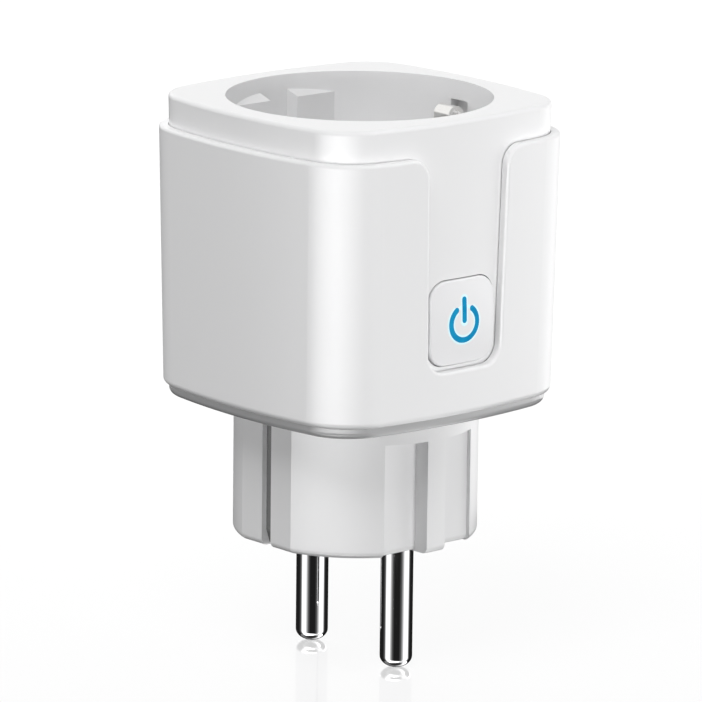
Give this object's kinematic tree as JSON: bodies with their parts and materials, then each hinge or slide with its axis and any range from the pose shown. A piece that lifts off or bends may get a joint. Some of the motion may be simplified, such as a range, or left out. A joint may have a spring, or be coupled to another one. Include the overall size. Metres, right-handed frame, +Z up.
{
  "type": "smart plug",
  "caption": "Plug-through smart socket: earthed round-pin plug below, matching shuttered recess on top, lit power button on one side, relay and radio inside.",
  "frame": {"origin": "centre of the plug neck's face, midway between the two plug pins", "axes": "+Z up out of the socket recess, -Z along the plug pins, -Y out of the power button, +X to the right seen from the button's side; the pins and the socket holes lie along Y, the earth contacts along X"},
  "size_m": [0.0488, 0.0485, 0.084],
  "materials": {
    "body_white": "gloss",
    "trim_grey": "gloss",
    "button_white": "satin",
    "icon_blue": "translucent",
    "pin_nickel": "polished",
    "earth_metal": "bright",
    "strip_metal": "satin",
    "contact_brass": "satin",
    "shutter_white": "matte",
    "screw_steel": "zinc",
    "spring_steel": "bright",
    "board_green": "solder mask",
    "relay_black": "satin",
    "relay_blue": "satin",
    "bobbin_white": "matte",
    "copper_wire": "enamelled",
    "soft_iron": "satin",
    "silver_contact": "satin",
    "switch_black": "matte",
    "lamp_body": "clear",
    "shield_tin": "tinned",
    "capacitor_sleeve": "shrink sleeve",
    "film_yellow": "satin",
    "ferrite_grey": "matte",
    "tape_yellow": "tape",
    "chip_black": "matte",
    "shunt_alloy": "satin",
    "resistor_blue": "lacquer",
    "varistor_blue": "epoxy"
  },
  "bodies": {
    "housing": {"outer_sleeve": "body_white", "core_housing": "body_white", "base_housing": "trim_grey", "housing_screws": "screw_steel", "switch_board": "board_green", "tact_switch": "switch_black", "switch_dome": "spring_steel", "status_leds": "lamp_body", "front_pin": "pin_nickel", "back_pin": "pin_nickel", "front_busbar": "contact_brass", "back_busbar": "contact_brass", "earth_strip_right": "strip_metal", "earth_strip_left": "strip_metal", "earth_bridge": "contact_brass", "earth_riser_right": "earth_metal", "earth_riser_left": "earth_metal", "front_contact": "contact_brass", "back_contact": "contact_brass", "shutter_spring": "spring_steel", "shutter_retainer": "shutter_white", "retainer_screws": "screw_steel", "main_board": "board_green", "board_screws": "screw_steel", "relay_base": "relay_black", "relay_case": "relay_blue", "relay_bobbin": "bobbin_white", "relay_winding": "copper_wire", "relay_yoke": "soft_iron", "relay_fixed_contact": "silver_contact", "radio_board": "board_green", "radio_shield": "shield_tin", "filter_capacitors": "capacitor_sleeve", "film_capacitor": "film_yellow", "transformer_core": "ferrite_grey", "transformer_winding": "tape_yellow", "rectifier": "chip_black", "metering_chip": "chip_black", "shunt": "shunt_alloy", "fuse_resistor": "resistor_blue", "inductor": "ferrite_grey", "varistor": "varistor_blue"},
    "button": {"power_button": "button_white", "button_icon": "icon_blue"},
    "plunger": {"switch_plunger": "switch_black"},
    "shutter": {"shutter": "shutter_white"},
    "armature": {"relay_armature": "soft_iron", "relay_blade": "silver_contact"},
    "clip_right": {"earth_clip_right": "earth_metal"},
    "clip_left": {"earth_clip_left": "earth_metal"}
  },
  "joints": [
    {"name": "button_press", "type": "slide", "parent": "housing", "child": "button", "axis": [0, 1, 0], "range_m": [0, 0.0004], "stiffness_N_per_m": 3000, "springref_m": -0.0003},
    {"name": "plunger_press", "type": "slide", "parent": "housing", "child": "plunger", "axis": [0, 1, 0], "range_m": [0, 0.0004], "deforming": ["switch_dome"]},
    {"name": "shutter_turn", "type": "hinge", "parent": "housing", "child": "shutter", "pos_m": [0, 0, 0.0448], "axis": [0, 0, 1], "range_deg": [0, 40], "stiffness_Nm_per_rad": 0.004, "springref_deg": -14.32, "deforming": ["shutter_spring"]},
    {"name": "armature_tilt", "type": "hinge", "parent": "housing", "child": "armature", "pos_m": [0.0125, 0.0024, 0.0383], "axis": [1, 0, 0], "range_deg": [0, 3.5], "stiffness_Nm_per_rad": 0.03, "springref_deg": -2.86},
    {"name": "clip_right_flex", "type": "hinge", "parent": "housing", "child": "clip_right", "pos_m": [0.0174, 0, 0.0601], "axis": [0, -1, 0], "range_deg": [0, 12], "stiffness_Nm_per_rad": 0.25, "springref_deg": -1.15},
    {"name": "clip_left_flex", "type": "hinge", "parent": "housing", "child": "clip_left", "pos_m": [-0.0174, 0, 0.0601], "axis": [0, 1, 0], "range_deg": [0, 12], "stiffness_Nm_per_rad": 0.25, "springref_deg": -1.15}
  ],
  "couplings": [
    {"joint": "plunger_press", "follows": "button_press", "ratio": 1}
  ]
}
